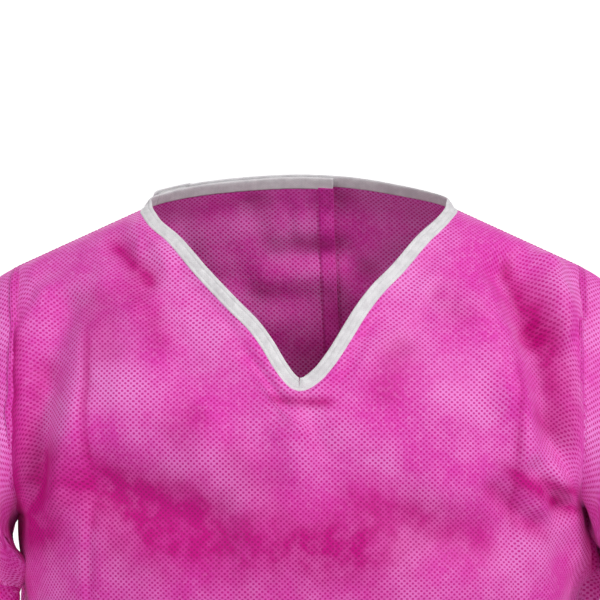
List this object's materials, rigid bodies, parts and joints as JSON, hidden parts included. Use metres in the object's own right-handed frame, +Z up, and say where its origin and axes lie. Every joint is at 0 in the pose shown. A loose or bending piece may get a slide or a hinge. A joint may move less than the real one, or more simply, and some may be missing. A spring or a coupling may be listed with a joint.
{
  "type": "patient gown",
  "caption": "Back-opening patient gown of bonded cloth, with short set-in sleeves, a bound V neck and overlapping back flaps closed by a neck tab, shown as worn.",
  "frame": {"origin": "middle of the neck opening, level with its two side corners, on the line of the shoulders", "axes": "+Z up along the wearer's body, the wearer faces -Y, +X is the wearer's left"},
  "size_m": [0.6432, 0.3371, 1.0798],
  "materials": {
    "gown_cloth": "magenta spunbond nonwoven with a staggered pattern of small diamond bond points",
    "stitched_cloth": "the same nonwoven, folded and sewn double",
    "neck_binding": "white nonwoven tape folded over the edge and stitched along its outer fold",
    "hook_and_loop": "white hook and loop fastening"
  },
  "bodies": {
    "gown": {"front_panel": "gown_cloth", "back_side_left": "gown_cloth", "back_side_right": "gown_cloth", "front_hem": "stitched_cloth", "back_side_hem_left": "stitched_cloth", "back_side_hem_right": "stitched_cloth", "shoulder_seam_left": "stitched_cloth", "shoulder_seam_right": "stitched_cloth", "side_seam_left": "stitched_cloth", "side_seam_right": "stitched_cloth", "armhole_seam_left": "stitched_cloth", "armhole_seam_right": "stitched_cloth", "neck_binding_front": "neck_binding", "neck_loop_patch": "hook_and_loop"},
    "flap_left": {"back_flap_left": "gown_cloth", "flap_hem_left": "stitched_cloth", "flap_edge_hem_left": "stitched_cloth", "neck_binding_back_left": "neck_binding"},
    "flap_right": {"back_flap_right": "gown_cloth", "flap_hem_right": "stitched_cloth", "flap_edge_hem_right": "stitched_cloth", "neck_binding_back_right": "neck_binding"},
    "neck_tab": {"neck_hook_tab": "hook_and_loop"},
    "sleeve_left": {"sleeve_panel_left": "gown_cloth", "sleeve_hem_left": "stitched_cloth"},
    "sleeve_right": {"sleeve_panel_right": "gown_cloth", "sleeve_hem_right": "stitched_cloth"}
  },
  "joints": [
    {"name": "flap_left_fold", "type": "hinge", "parent": "gown", "child": "flap_left", "pos_m": [0.1285, 0.107, -0.25], "axis": [0, 0.0586, -0.9983], "range_deg": [0, 110]},
    {"name": "flap_right_fold", "type": "hinge", "parent": "gown", "child": "flap_right", "pos_m": [-0.1285, 0.107, -0.25], "axis": [0, -0.0586, 0.9983], "range_deg": [0, 55]},
    {"name": "neck_tab_peel", "type": "hinge", "parent": "flap_left", "child": "neck_tab", "pos_m": [-0.08816, 0.047, 0.01444], "axis": [-0.0521, 0.5793, -0.8135], "range_deg": [0, 110]},
    {"name": "sleeve_left_lift", "type": "hinge", "parent": "gown", "child": "sleeve_left", "pos_m": [0.217, 0, -0.0443], "axis": [0, -1, 0], "range_deg": [0, 35]},
    {"name": "sleeve_right_lift", "type": "hinge", "parent": "gown", "child": "sleeve_right", "pos_m": [-0.217, 0, -0.0443], "axis": [0, 1, 0], "range_deg": [0, 35]}
  ],
  "couplings": [
    {"joint": "flap_right_fold", "follows": "flap_left_fold", "ratio": 0.5}
  ]
}
